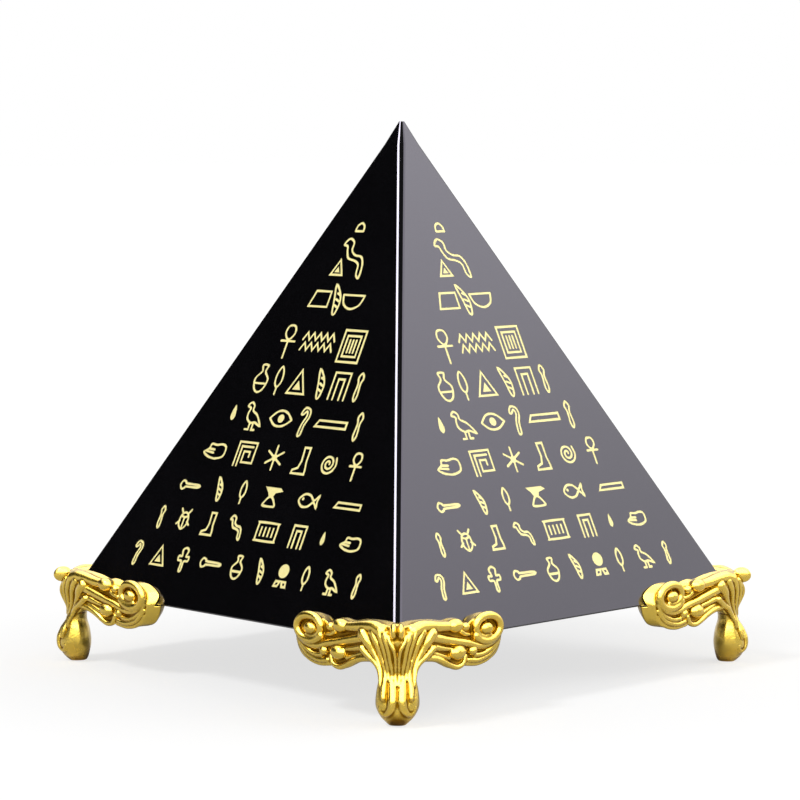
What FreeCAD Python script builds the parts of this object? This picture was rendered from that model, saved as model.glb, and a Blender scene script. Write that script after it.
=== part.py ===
import FreeCAD, Part
import math
import os
from FreeCAD import Vector

# An obsidian pyramid on four gilt scroll feet. Every length is in millimetres.
# The origin is on the floor under the apex, +Z is up, and the sides of the
# base lie along X and Y, so each foot stands on a diagonal.

os.makedirs("parts", exist_ok=True)

# Pyramid block
base_side = 100.0
pyramid_height = 101.0
arris_chamfer_width = 0.9
tip_flat_width = 0.8
base_edge_chamfer = 0.5

# Stand
stand_height = 15.0
corner_names = ["right", "back", "left", "front"]

# Fits between stone, adhesive and foot
adhesive_thickness = 0.3
stone_clearance = 0.25
adhesive_margin = 0.35
cut_overrun = 2.0

# Foot: arm plate
arm_length = 27.8
arm_half_height = 5.65
arm_drop = 0.5
arm_wall = 1.45
shelf_reach = 3.2

# Foot: scroll at the end of an arm
scroll_length = 7.9
scroll_height = 5.2
scroll_strand_radius = 0.7
scroll_bead_radius = 1.55

# Foot: strands and beads on an arm
strand_radius = 0.85
strand_sink = 0.12
bead_radius = 1.6

# Foot: flutes from the arms down the leg, and the bud above them
flute_rise = 0.55
flute_top_rise = 0.8
crest_reach = 3.9
crest_half_width = 1.75
crest_half_height = 2.0

# Foot: leg, from the arms down to the flat toe
leg_half_width = 4.3
leg_front_reach = 3.1
leg_back_reach = 3.9
claw_radius = 1.05

# Outline of an arm, from the corner along the top, round the scroll and back
# below: shares of arm_length along it and of arm_half_height up from its middle
# line. The first point starts it, and each further pair is the middle and the
# end of an arc.
arm_outline_shares = [
    (0.000, 0.960),
    (0.170, 0.965), (0.335, 0.840),
    (0.385, 0.780), (0.430, 0.760),
    (0.500, 0.830), (0.568, 0.725),
    (0.620, 0.620), (0.668, 0.680),
    (0.800, 0.850), (0.932, 0.640),
    (1.000, 0.150), (0.975, -0.400),
    (0.890, -0.820), (0.765, -1.000),
    (0.695, -0.970), (0.640, -0.880),
    (0.565, -1.000), (0.490, -0.920),
    (0.380, -0.700), (0.250, -0.550),
    (0.170, -0.610), (0.130, -0.885),
]

# Scroll: its centre on the arm, the angles in degrees over which its strand
# winds, and the share of its size that is left where the strand ends.
scroll_centre_share = (0.832, 0.265)
scroll_turn = (-135.0, 215.0)
scroll_end_share = 0.60
scroll_steps = 14

# Beads on an arm: shares along and up it, then the share of bead_radius.
bead_shares = [
    (0.145, 0.720, 1.00),
    (0.500, 0.545, 0.95),
    (0.545, -0.400, 1.05),
    (0.728, -0.400, 0.60),
]

# Strands of an arm: places as shares along and up it, then the shares of
# strand_radius at the two ends.
strand_shares = [
    ([(0.150, 0.730), (0.300, 0.700), (0.455, 0.545)], 1.50, 1.30),
    ([(0.215, 0.420), (0.460, 0.290), (0.700, -0.060)], 1.00, 0.75),
    ([(0.240, 0.150), (0.470, 0.000), (0.690, -0.290)], 0.75, 0.65),
    ([(0.255, -0.120), (0.380, -0.210), (0.500, -0.350)], 0.75, 0.60),
    ([(0.235, -0.370), (0.380, -0.520), (0.510, -0.830), (0.600, -0.840)], 0.75, 0.50),
    ([(0.745, -0.500), (0.830, -0.520), (0.920, -0.330), (0.965, 0.000)], 0.75, 0.50),
    ([(0.660, -0.800), (0.780, -0.860), (0.890, -0.680), (0.955, -0.330)], 0.80, 0.55),
]

# Flutes of the leg, from the outside in: where each starts on its arm, as
# shares along and up it, and the share of the leg's half width that it follows
# down. The slit between the two sets starts lower, at the corner.
flute_shares = [
    (0.262, -0.060, 0.92),
    (0.230, 0.270, 0.76),
    (0.170, 0.560, 0.54),
    (0.095, 0.700, 0.32),
    (0.020, 0.560, 0.12),
]
slit_rise_share = 0.40
flute_swell_share = 0.22

# Sections of the leg from the arms to the toe: share of the way down from the
# outer flutes' start, shares of the half width, the front reach and the back
# reach, the share of flute_rise, and how far it still follows the square corner.
leg_section_shares = [
    (0.030, 1.20, 0.74, 1.05, 1.00, 0.75),
    (0.145, 0.97, 0.38, 0.92, 0.80, 0.25),
    (0.265, 0.87, 0.16, 0.82, 0.70, 0.00),
    (0.500, 0.93, 0.74, 0.94, 0.45, 0.00),
    (0.665, 1.00, 1.00, 1.00, 0.10, 0.00),
    (0.795, 0.93, 0.96, 0.96, 0.00, 0.00),
    (0.900, 0.74, 0.75, 0.87, 0.00, 0.00),
    (1.000, 0.42, 0.26, 0.70, 0.00, 0.00),
]
leg_middle_share = 0.20
leg_back_width_share = 0.80
claw_place_shares = (0.62, 0.66)

# Bud at the top of the corner: its middle as a share up the arm, then shares
# of its reach out from the stone's corner and of its size there.
crest_level_share = 0.78
crest_shares = [(-0.25, 0.60), (0.20, 0.95), (0.60, 1.00), (0.85, 0.75), (1.00, 0.35)]

# Faceting of the small rounded forms
strand_angles = [0.0, 40.0, 90.0, 140.0, 180.0]
strand_root_share = 0.5
outline_steps = 4
bead_sides = 8
bead_rings = [-40.0, 0.0, 38.0, 68.0]
crest_sides = 8
strand_extra_steps = 2

origin = Vector(0, 0, 0)
up = Vector(0, 0, 1)
outward = Vector(1, 1, 0).normalize()
across = Vector(1, -1, 0).normalize()
half_side = base_side / 2


def closed_wire(points):
    """Closed wire of straight edges."""
    return Part.makePolygon(points + [points[0]])


def skin(rings):
    """Solid through rings of as many points each, in flat facets."""
    faces = []
    count = len(rings[0])
    for low, high in zip(rings, rings[1:]):
        for index in range(count):
            after = (index + 1) % count
            faces.append(Part.Face(closed_wire([low[index], low[after], high[after]])))
            faces.append(Part.Face(closed_wire([low[index], high[after], high[index]])))
    for ring in (rings[0][::-1], rings[-1]):
        middle = sum(ring, Vector()) * (1 / count)
        for index in range(count):
            faces.append(Part.Face(closed_wire([ring[index - 1], ring[index], middle])))
    solid = Part.Solid(Part.Shell(faces))
    if solid.Volume < 0:
        solid.reverse()
    return solid


def pyramid_of(half_width, height, turned):
    """Four-sided pyramid on the base plane, its corners on the axes if turned."""
    corners = [(-1, -1), (1, -1), (1, 1), (-1, 1)]
    if turned:
        corners = [(-1, 0), (0, -1), (1, 0), (0, 1)]
    base = [Vector(half_width * a, half_width * b, 0) for a, b in corners]
    tip = Vector(0, 0, height)
    faces = [Part.Face(closed_wire(base))]
    for start, end in zip(base, base[1:] + base[:1]):
        faces.append(Part.Face(closed_wire([start, end, tip])))
    return Part.Solid(Part.Shell(faces))


def pyramid_block():
    """Four polished faces, narrow chamfers on the arrises and a flat tip."""
    face_lean = math.atan2(half_side, pyramid_height)
    arris_lean = math.atan2(half_side * math.sqrt(2), pyramid_height)

    # Half the angle between two faces gives the depth of an arris chamfer.
    half_dihedral = (math.pi - math.acos(math.sin(face_lean) ** 2)) / 2
    chamfer_depth = arris_chamfer_width / 2 / math.tan(half_dihedral)
    chamfered_height = pyramid_height - chamfer_depth / math.sin(arris_lean)
    chamfer_reach = chamfered_height * math.tan(arris_lean) * math.sqrt(2)
    block = pyramid_of(half_side, pyramid_height, False)
    block = block.common(pyramid_of(chamfer_reach, chamfered_height, True))

    # The tip is cut flat where the chamfers are tip_flat_width apart.
    tip_height = chamfered_height - tip_flat_width / 2 / math.tan(arris_lean)
    slab_corner = Vector(-half_side, -half_side, 0)
    block = block.common(Part.makeBox(base_side, base_side, tip_height, slab_corner))

    # The bottom edges are eased by an upside-down pyramid at 45 degrees.
    reach = half_side - base_edge_chamfer
    easing = pyramid_of(reach + tip_height, reach + tip_height, False)
    easing.rotate(origin, Vector(1, 0, 0), 180)
    easing.translate(up * tip_height)
    block = block.common(easing)
    block.translate(up * stand_height)
    return block


def arm_point(share_along, share_up, out=0):
    """Point of the arm's panel: along, up, and out from the stone's edge."""
    return Vector(share_along * arm_length, share_up * arm_half_height - arm_drop, out)


def stand_up(shape):
    """Turn an arm's panel upright, with its outer side facing +Y."""
    shape.rotate(origin, Vector(1, 0, 0), 90)
    shape.rotate(origin, up, 180)


def other_arm(shape):
    """Mirror image of an arm's shape in the foot's diagonal."""
    return shape.mirror(origin, across)


def arm_plate():
    """Plate of the arm's outline, from the shelf's edge to the wall's face."""
    places = [arm_point(*shares, -shelf_reach) for shares in arm_outline_shares]
    points = [Vector(-arm_wall, leg_level(leg_section_shares[0][0]), -shelf_reach),
              Vector(-arm_wall, places[0].y, -shelf_reach), places[0]]
    for index in range(0, len(places) - 2, 2):
        arc = Part.Arc(places[index], places[index + 1], places[index + 2])
        points += arc.toShape().discretize(Number=outline_steps + 1)[1:]
    return Part.Face(closed_wire(points)).extrude(up * (arm_wall + shelf_reach))


def strand(points, normals, radii):
    """Half-round strand along a line of points, raised towards the normals."""
    rings = []
    last = len(points) - 1
    for index, point in enumerate(points):
        tangent = points[min(index + 1, last)] - points[max(index - 1, 0)]
        side = tangent.cross(normals[index]).normalize()
        rise = side.cross(tangent).normalize()
        radius = radii[index]
        ring = [point + side * radius * math.cos(math.radians(angle))
                + rise * radius * math.sin(math.radians(angle)) for angle in strand_angles]
        ring.append(point - side * radius - rise * radius * strand_root_share)
        ring.append(point + side * radius - rise * radius * strand_root_share)
        rings.append(ring)
    return skin(rings)


def tapered(start, end, count):
    """Evenly spaced values from start to end."""
    return [start + (end - start) * index / (count - 1) for index in range(count)]


def smooth_line(places):
    """Evenly spaced points on a smooth curve through the places."""
    curve = Part.BSplineCurve()
    curve.interpolate(places)
    return curve.discretize(Number=len(places) + strand_extra_steps)


def bead(centre, direction, radius):
    """Faceted ball, flat where it roots in the plate behind it."""
    turn = FreeCAD.Rotation(up, direction)
    rings = []
    for latitude in bead_rings:
        size = radius * math.cos(math.radians(latitude))
        level = radius * math.sin(math.radians(latitude))
        angles = [2 * math.pi * index / bead_sides for index in range(bead_sides)]
        ring = [Vector(size * math.cos(angle), size * math.sin(angle), level) for angle in angles]
        rings.append([centre + turn.multVec(point) for point in ring])
    return skin(rings)


def scroll():
    """Strand that winds round the arm's end and in towards its bead."""
    centre = arm_point(*scroll_centre_share, arm_wall - strand_sink)
    first, last = scroll_turn
    points = []
    for index, angle in enumerate(tapered(first, last, scroll_steps)):
        wound = max(0, (angle - 90) / (last - 90))
        size = 1 - (1 - scroll_end_share) * wound
        along = size * scroll_length / 2 * math.cos(math.radians(angle))
        high = size * scroll_height / 2 * math.sin(math.radians(angle))
        points.append(centre + Vector(along, high, 0))
    radii = tapered(scroll_strand_radius, scroll_strand_radius * scroll_end_share, scroll_steps)
    return [strand(points, [up] * scroll_steps, radii), bead(centre, up, scroll_bead_radius)]


def arm():
    """One arm on its panel, then stood upright along the stone's edge."""
    pieces = scroll()
    for along, high, size in bead_shares:
        pieces.append(bead(arm_point(along, high, arm_wall), up, bead_radius * size))
    for places, first, last in strand_shares:
        level = arm_wall - strand_sink
        points = smooth_line([arm_point(along, high, level) for along, high in places])
        radii = tapered(strand_radius * first, strand_radius * last, len(points))
        pieces.append(strand(points, [up] * len(points), radii))
    whole = arm_plate().fuse(pieces)
    stand_up(whole)
    return whole


def flute_lines():
    """Lines down the leg's front: start on the arms, width share, ridge or groove."""
    ridges = []
    for along, high, width_share in flute_shares:
        ridges.append((arm_point(along, high), -width_share))
    outer = ridges[0][0]
    one_side = [(Vector(outer.x, outer.y - flute_top_rise, 0), -1.0, 0)]
    for (start, share), (next_start, next_share) in zip(ridges, ridges[1:]):
        one_side.append((start, share, 1))
        one_side.append(((start + next_start) / 2, (share + next_share) / 2, 0))
    one_side.append((*ridges[-1], 1))
    other_side = [(start, -share, rise) for start, share, rise in one_side[::-1]]
    return one_side + [(arm_point(0, slit_rise_share), 0.0, 0)] + other_side


def fan_ring(rise_share, sunk):
    """Ring across the walls of the two arms where the flutes start."""
    ring = []
    for start, share, rise in flute_lines():
        out = arm_wall - sunk + flute_top_rise * rise_share * rise
        if share < 0:
            ring.append(Vector(-start.x, out, start.y))
        elif share > 0:
            ring.append(Vector(out, -start.x, start.y))
        else:
            ring.append(Vector(out, out, start.y))
    level = up * ring[0].z
    ring.append(level - outward * shelf_reach + across * shelf_reach)
    ring.append(level - outward * shelf_reach - across * shelf_reach)
    return ring


def between(low, high, share):
    """Ring at a share of the way from one ring to another."""
    return [start + (end - start) * share for start, end in zip(low, high)]


def leg_level(share):
    """Height of a section, from the outer flutes' start down to the toe."""
    start = flute_lines()[0][0].y
    return start - share * (stand_height + start)


def leg_ring(shares):
    """Section of the leg: fluted bow in front, flat behind with sloped corners."""
    drop, width, front, back, rise_share, corner = shares
    half_width = width * leg_half_width
    middle = -leg_middle_share * leg_back_reach
    depth = front * leg_front_reach - middle
    level = up * leg_level(drop)
    ring = []
    for start, share, rise in flute_lines():
        lateral = share * half_width
        oval = middle + depth * math.sqrt(1 - share * share)
        wall = arm_wall / outward.x - abs(lateral)
        forward = corner * wall + (1 - corner) * oval
        ridge = flute_rise * rise_share * rise
        ring.append(level + across * lateral * (1 + ridge / half_width) + outward * (forward + ridge))
    back_half = half_width * leg_back_width_share
    ring.append(level + across * back_half - outward * back * leg_back_reach)
    ring.append(level - across * back_half - outward * back * leg_back_reach)
    return ring


def leg():
    """Fluted leg from the arms to the toe, with a claw curl on each side."""
    rings = [leg_ring(shares) for shares in leg_section_shares]
    swollen = between(fan_ring(1, 0), rings[0], flute_swell_share)
    body = skin([fan_ring(0, strand_sink), swollen] + rings)
    drop, width, front = max(leg_section_shares, key=lambda shares: shares[2])[:3]
    claws = []
    for side in (-1, 1):
        place = across * side * claw_place_shares[0] * width * leg_half_width
        place = place + outward * claw_place_shares[1] * front * leg_front_reach
        place = place + up * leg_level(drop)
        claws.append(bead(place, outward + across * side, claw_radius))
    return body.fuse(claws)


def crest():
    """Round bud at the top of the corner."""
    rings = []
    level = up * arm_point(0, crest_level_share).y
    for reach, size in crest_shares:
        centre = outward * reach * crest_reach + level
        ring = []
        for index in range(crest_sides):
            angle = 2 * math.pi * index / crest_sides
            sideways = across * size * crest_half_width * math.cos(angle)
            ring.append(centre + sideways + up * size * crest_half_height * math.sin(angle))
        rings.append(ring)
    return skin(rings)


def seat():
    """Room for the corner of the stone, its clearance and the adhesive."""
    top = arm_half_height + crest_half_height + cut_overrun
    rings = []
    for level in (-adhesive_thickness, 0, top):
        near = stone_clearance - max(level, 0) * half_side / pyramid_height
        far = near - arm_length - top
        rings.append([Vector(near, near, level), Vector(far, near, level),
                      Vector(far, far, level), Vector(near, far, level)])
    return skin(rings)


def foot():
    """One cast foot, with the corner of the stone at its origin."""
    first = arm()
    body = first.fuse([other_arm(first), leg(), crest()])
    return body.cut(seat()).removeSplitter()


def adhesive_bed():
    """Thin L of adhesive between the foot's shelf and the stone."""
    outer = -(base_edge_chamfer + adhesive_margin)
    inner = -(shelf_reach - adhesive_margin)
    end = -scroll_centre_share[0] * arm_length
    corners = [(outer, outer), (end, outer), (end, inner), (inner, inner), (inner, end), (outer, end)]
    outline = [Vector(x, y, -adhesive_thickness) for x, y in corners]
    return Part.Face(closed_wire(outline)).extrude(up * adhesive_thickness)


def at_corner(shape, turn):
    """Copy of a corner's shape, turned and moved to its corner of the stone."""
    placed = shape.copy()
    placed.translate(Vector(half_side, half_side, stand_height))
    placed.rotate(origin, up, turn)
    return placed


def save(name, shape):
    """Write one piece and print its size."""
    solid = shape.Solids[0]
    print(name, len(shape.Solids), solid.isValid(), round(solid.Volume, 1), len(solid.Faces))
    solid.exportStep(os.path.join("parts", name + ".step"))


save("pyramid_block", pyramid_block())
cast_foot = foot()
bed = adhesive_bed()
for index, corner in enumerate(corner_names):
    turn = 360 * index / len(corner_names)
    save("foot_" + corner, at_corner(cast_foot, turn))
    save("glue_bed_" + corner, at_corner(bed, turn))
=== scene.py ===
"""A polished obsidian pyramid with gilded signs, on four cast scroll feet."""
import math
import random

import bmesh
import bpy
import numpy as np
from bpy.props import FloatProperty, FloatVectorProperty, IntProperty, PointerProperty
from mathutils import Matrix, Vector
from mathutils.geometry import delaunay_2d_cdt


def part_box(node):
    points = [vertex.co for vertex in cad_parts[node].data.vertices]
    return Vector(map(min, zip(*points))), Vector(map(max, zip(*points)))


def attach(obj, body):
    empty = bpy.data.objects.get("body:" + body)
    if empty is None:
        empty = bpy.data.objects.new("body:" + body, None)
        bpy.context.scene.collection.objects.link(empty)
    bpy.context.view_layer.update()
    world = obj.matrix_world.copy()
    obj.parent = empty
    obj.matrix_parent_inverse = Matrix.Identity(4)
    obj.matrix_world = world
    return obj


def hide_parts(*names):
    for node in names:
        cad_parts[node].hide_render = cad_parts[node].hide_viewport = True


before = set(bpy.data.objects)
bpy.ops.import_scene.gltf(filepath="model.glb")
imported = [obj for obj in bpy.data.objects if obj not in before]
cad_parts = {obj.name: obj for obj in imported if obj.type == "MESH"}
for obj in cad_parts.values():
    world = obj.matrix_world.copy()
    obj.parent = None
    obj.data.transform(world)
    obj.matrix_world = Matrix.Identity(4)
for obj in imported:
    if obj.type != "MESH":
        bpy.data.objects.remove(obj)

bl_info = {
    "name": "Obsidian pyramid on scroll feet",
    "version": (1, 0, 0),
    "blender": (4, 5, 0),
    "location": "3D View > Sidebar > Pyramid",
    "description": "Builds the stone, its gilded signs, the cast feet and the stage",
    "category": "Object",
}

MM = 0.001
BODY = "root"
CORNERS = {"right": 0, "back": 90, "left": 180, "front": 270}
STONE_LOW, STONE_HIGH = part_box("pyramid_block")
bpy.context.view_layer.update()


def length(name, description, millimetres, least=0.0):
    """A length property, given in millimetres and kept in metres."""
    return FloatProperty(name=name, description=description, default=millimetres * MM,
                         min=least * MM, unit="LENGTH", precision=5)


def angle(name, description, degrees):
    """An angle property, given in degrees and kept in radians."""
    return FloatProperty(name=name, description=description, default=math.radians(degrees), subtype="ANGLE")


def number(name, description, default, **limits):
    """A number property that isn't below 0."""
    return FloatProperty(name=name, description=description, default=default, min=0.0, **limits)


def colour(name, description, red, green, blue):
    """A colour property."""
    return FloatVectorProperty(name=name, description=description, subtype="COLOR", size=3,
                               default=(red, green, blue), min=0.0, max=1.0)


class StoneSizes(bpy.types.PropertyGroup):
    """Sizes of the stone."""
    base_side: length("Base side", "Side of the square base before its edges are eased", 100.0)
    height: length("Height", "Height to the sharp apex", 101.0)
    arris_width: length("Arris facet", "Width of the flat cut along each arris", 0.9)
    glint_width: length("Eased edge", "Width of the polished strip beside an arris facet", 0.42)
    base_easing: length("Base easing", "Bevel round the bottom edge", 0.5)
    tip_blend: length("Tip blend", "Half width of the stone where the facets start to close", 3.0)


class SignSizes(bpy.types.PropertyGroup):
    """Sizes of the engraved signs."""
    stroke: length("Stroke", "Width of an engraved line", 0.52)
    depth: length("Depth", "Depth of the engraving", 0.28)
    fill_drop: length("Fill drop", "How far the gold lies below the polished face", 0.03)
    margin: length("Margin", "Bare stone between a row of signs and the arris", 10.7)
    wobble: number("Wobble", "How uneven the strokes' width is", 0.10, max=0.5)


class FootSizes(bpy.types.PropertyGroup):
    """Sizes of a cast foot."""
    wall: length("Wall", "How far the arms' ground stands out from the stone's edge", 1.45)
    clearance: length("Clearance", "Gap between the foot's wall and the stone's edge", 0.25)
    bed: length("Adhesive", "Thickness of the adhesive bed under the stone", 0.3)
    voxel: length("Grain of the casting", "Voxel size that melts the strands together", 0.16, 0.1)
    softness: IntProperty(name="Softness", description="Smoothing passes after the melt",
                          default=2, min=0, max=20)


class Finishes(bpy.types.PropertyGroup):
    """Colours of the surfaces."""
    obsidian: colour("Obsidian", "Body colour of the volcanic glass", 0.0012, 0.0012, 0.0016)
    gilt: colour("Gilt", "Bright gilding on the feet", 0.62, 0.43, 0.055)
    # Painted shade: the gilt's colour where shade and dark reflections are painted in, in the hollows and at
    # the toe.
    gilt_painted_shade: colour("Gilt in hollows", "Darker gilding in the hollows of the feet", 0.20, 0.10, 0.003)
    sign_gold: colour("Sign gold", "Gold paint in the signs", 0.98, 0.86, 0.34)
    adhesive: colour("Adhesive", "Set adhesive under the stone", 0.55, 0.52, 0.42)
    floor: colour("Floor", "Studio floor", 0.90, 0.90, 0.90)


class StageSizes(bpy.types.PropertyGroup):
    """Camera and light."""
    lens: length("Lens", "Focal length on a 36 mm sensor", 135.0)
    distance: length("Distance", "From the camera to its target", 637.1)
    azimuth: angle("Azimuth", "Camera's angle round the object", 45.735)
    elevation: angle("Elevation", "Camera's angle above the floor", 5.25)
    roll: angle("Roll", "Camera's turn about its own axis", -0.03)
    target_side: length("Target side", "Target's place to the right of the axis", -0.383, -50)
    target_rise: length("Target rise", "Target's height above the stone's underside", 40.86)
    key_level: number("Key level", "Radiance of the broad light on the right", 1.9)
    strip_level: number("Strip level", "Radiance of the light on the left", 24.0)
    fill_level: number("Fill level", "Strength of the room's light", 0.35)


GROUPS = {"stone": StoneSizes, "signs": SignSizes, "foot": FootSizes, "finish": Finishes,
          "stage": StageSizes}


class PyramidSettings(bpy.types.PropertyGroup):
    """All settings of the object and its stage."""
    stone: PointerProperty(type=StoneSizes)
    signs: PointerProperty(type=SignSizes)
    foot: PointerProperty(type=FootSizes)
    finish: PointerProperty(type=Finishes)
    stage: PointerProperty(type=StageSizes)


# Noise of the finishes: its scale in waves per metre, its detail and its roughness.
NOISES = {
    "grain": (2600.0, 2.0, 0.6), "haze": (42.0, 4.0, 0.55), "smudge": (95.0, 5.0, 0.6),
    "scratch": (1800.0, 3.0, 0.6), "patches": (320.0, 4.0, 0.6), "pebble": (2400.0, 3.0, 0.55),
    "ripple": (600.0, 2.0, 0.5), "brushed": (1500.0, 4.0, 0.65), "fleck": (5200.0, 2.0, 0.6),
    "cloud": (500.0, 4.0, 0.6),
}
BUBBLE_SCALE = 1400.0

# Edges of masks: the value at which each starts and the value at which it is full.
# Those of the room are on the directions towards BRIGHT_SIDE, FRONT_SIDE and up.
EDGES = {
    # The gilt's mask of painted shade in the hollows and at the toe has its edges here too.
    "speck": (0.42, 0.66), "haze": (0.45, 0.75), "smudge": (0.52, 0.75), "painted_shade": (0.34, 0.78),
    "fleck": (0.48, 0.68), "thin": (0.62, 0.78), "away": (0.07, 0.20), "bright": (0.42, 0.62),
    "bright_rise": (0.43, 0.60), "front": (0.45, 0.75), "front_rise": (0.08, 0.30),
    "ceiling": (0.58, 0.80), "above_band": (0.10, 0.26),
}

# Second colours of the finishes, and the tint of the glass's reflections.
OBSIDIAN_SPECK = (0.0045, 0.0042, 0.0052, 1.0)
GLASS_TINT = (0.88, 0.83, 1.0, 1.0)
GOLD_FLECK = (1.0, 0.97, 0.56, 1.0)
GOLD_THIN = (0.55, 0.40, 0.09, 1.0)
ADHESIVE_CLOUD = (0.36, 0.31, 0.20, 1.0)
WHITE = (1.0, 1.0, 1.0, 1.0)


class Wire:
    """A socket that takes part in arithmetic: each operator adds its Math node."""

    def __init__(self, desk, socket):
        self.desk = desk
        self.socket = socket

    def math(self, operation, first, second):
        return self.desk.node("Math", {"operation": operation}, {0: first, 1: second})

    def __add__(self, other):
        return self.math("ADD", self, other)

    def __sub__(self, other):
        return self.math("SUBTRACT", self, other)

    def __rsub__(self, other):
        return self.math("SUBTRACT", other, self)

    def __mul__(self, other):
        return self.math("MULTIPLY", self, other)

    __radd__ = __add__
    __rmul__ = __mul__

    def most(self, other):
        return self.math("MAXIMUM", self, other)


class Desk:
    """Adds nodes to the tree of one material or world."""

    def __init__(self, owner, coordinates="Object"):
        owner.use_nodes = True
        self.owner = owner
        self.tree = owner.node_tree
        self.tree.nodes.clear()
        self.place = self.node("TexCoord", {}, {}, coordinates)

    def node(self, kind, settings, inputs, output=0):
        """A node: its settings are set first, then its inputs' values or links."""
        made = self.tree.nodes.new("ShaderNode" + kind)
        for name, value in settings.items():
            setattr(made, name, value)
        for name, value in inputs.items():
            if isinstance(value, Wire):
                self.tree.links.new(value.socket, made.inputs[name])
            else:
                made.inputs[name].default_value = value
        return Wire(self, made.outputs[output]) if made.outputs else None

    def edge(self, name, value):
        """0 below the named edge, 1 above it, with a straight slope between."""
        low, high = EDGES[name]
        return self.node("MapRange", {"clamp": True}, {0: value, 1: low, 2: high, 3: 0.0, 4: 1.0})

    def blend(self, mask, first, second):
        """The first colour where the mask is 0 and the second where it is 1."""
        return self.node("Mix", {"data_type": "RGBA"}, {0: mask, 6: first, 7: second}, 2)

    def noise(self, name):
        """The named noise, from 0 to 1."""
        scale, detail, roughness = NOISES[name]
        return self.node("TexNoise", {}, {"Vector": self.place, "Scale": scale, "Detail": detail,
                                          "Roughness": roughness})

    def bump(self, height, millimetres):
        """Normals of a surface that the height raises by up to the distance."""
        return self.node("Bump", {}, {"Height": height, "Distance": millimetres * MM})

    def toward(self, direction):
        """How far the place points in the direction."""
        return self.node("VectorMath", {"operation": "DOT_PRODUCT"}, {0: self.place, 1: direction}, 1)

    def ray(self, kind):
        """1 for rays of the kind, otherwise 0."""
        return self.node("LightPath", {}, {}, kind)

    def seen_white(self):
        """1 for the rays of the camera, of reflections and of clear materials, otherwise 0."""
        seen = self.ray("Is Camera Ray") + self.ray("Is Glossy Ray")
        return self.node("Math", {"operation": "ADD", "use_clamp": True},
                         {0: seen, 1: self.ray("Is Transmission Ray")})

    def finish(self, inputs):
        """The material with a Principled surface of these inputs."""
        surface = self.node("BsdfPrincipled", {}, inputs)
        self.node("OutputMaterial", {}, {"Surface": surface})
        return self.owner


def material_desk(name):
    """The desk of a new material."""
    return Desk(bpy.data.materials.new(name))


def opaque(shade):
    """A colour property with full alpha."""
    return (*shade, 1.0)


def obsidian_material(finish):
    """Polished volcanic glass: near black, with faint grain, haze and smudges."""
    desk = material_desk("polished_obsidian")
    grain = desk.noise("grain")
    haze = desk.noise("haze")
    smudge = desk.edge("smudge", desk.noise("smudge"))
    body = desk.blend(0.35 * desk.edge("haze", haze) + 0.65 * desk.edge("speck", grain),
                      opaque(finish.obsidian), OBSIDIAN_SPECK)
    return desk.finish({"Base Color": body, "Roughness": 0.045 + grain * 0.03 + smudge * 0.04, "IOR": 1.52,
                        "Specular Tint": GLASS_TINT, "Normal": desk.bump(grain * 0.6 + haze, 0.012)})


def arris_material(finish):
    """Ground arris of the glass: as black and duller than the polished faces, with its reflection turned
    almost off, a painted dark reflection that keeps the facet black.
    """
    desk = material_desk("ground_arris_painted_dark")
    scratch = desk.noise("scratch")
    return desk.finish({"Base Color": opaque(finish.obsidian), "Roughness": 0.24 + scratch * 0.1, "IOR": 1.5,
                        "Specular IOR Level": 0.01, "Normal": desk.bump(scratch, 0.01)})


def gilt_material(finish):
    """Gilded casting, finely pebbled: plain gilt on the swells, with painted shade in the hollows and a
    painted dark reflection at the toe, where it is also rougher and has less coat.
    """
    desk = material_desk("gilded_casting")
    patches = desk.noise("patches")
    # Mask of painted shade: the gilt darkens, roughens and loses coat in the hollows and at the toe,
    # standing in for shade and dark reflections there.
    painted_shade_amount = desk.node("Attribute", {"attribute_name": "painted_shade_amount"}, {}, 2)
    painted_shade = desk.edge("painted_shade", painted_shade_amount + patches * 0.15)
    relief = desk.noise("pebble") * 0.4 + desk.noise("ripple")
    return desk.finish({"Base Color": desk.blend(painted_shade, opaque(finish.gilt), opaque(finish.gilt_painted_shade)),
                        "Metallic": 1.0, "Roughness": 0.20 + patches * 0.12 + painted_shade * 0.16,
                        "Normal": desk.bump(relief, 0.06), "Coat Weight": 0.45 * (1 - painted_shade),
                        "Coat Roughness": 0.12, "Coat IOR": 1.6})


def sign_material(finish):
    """Gold paint rubbed into the engraving: uneven, with brighter flecks."""
    desk = material_desk("sign_gold")
    brushed = desk.noise("brushed")
    fleck = desk.edge("fleck", desk.noise("fleck"))
    bright = desk.blend(fleck * 0.55, opaque(finish.sign_gold), GOLD_FLECK)
    tint = desk.blend(desk.edge("thin", brushed) * 0.5, bright, GOLD_THIN)
    return desk.finish({"Base Color": tint, "Metallic": 0.12, "Roughness": 0.36 + brushed * 0.2,
                        "Normal": desk.bump(brushed + fleck * 0.5, 0.05)})


def adhesive_material(finish):
    """Set adhesive: a cloudy amber film with small bubbles."""
    desk = material_desk("set_adhesive")
    cloud = desk.noise("cloud")
    bubbles = desk.node("TexVoronoi", {}, {"Vector": desk.place, "Scale": BUBBLE_SCALE})
    return desk.finish({"Base Color": desk.blend(cloud, opaque(finish.adhesive), ADHESIVE_CLOUD),
                        "Roughness": 0.22 + cloud * 0.3, "Normal": desk.bump(bubbles, 0.05)})


def linked(name, data):
    """A new object of the data, in the scene."""
    item = bpy.data.objects.new(name, data)
    bpy.context.scene.collection.objects.link(item)
    return item


def mesh_of(made, name):
    """The worked shape as a mesh."""
    mesh = bpy.data.meshes.new(name)
    made.to_mesh(mesh)
    made.free()
    return mesh


def object_from(name, mesh, material, slot, *replaced):
    """Puts a mesh in the scene as a piece of the object on its body."""
    piece = linked(name, mesh)
    mesh.materials.append(material)
    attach(piece, BODY)
    if replaced:
        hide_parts(*replaced)
    return piece


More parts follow.
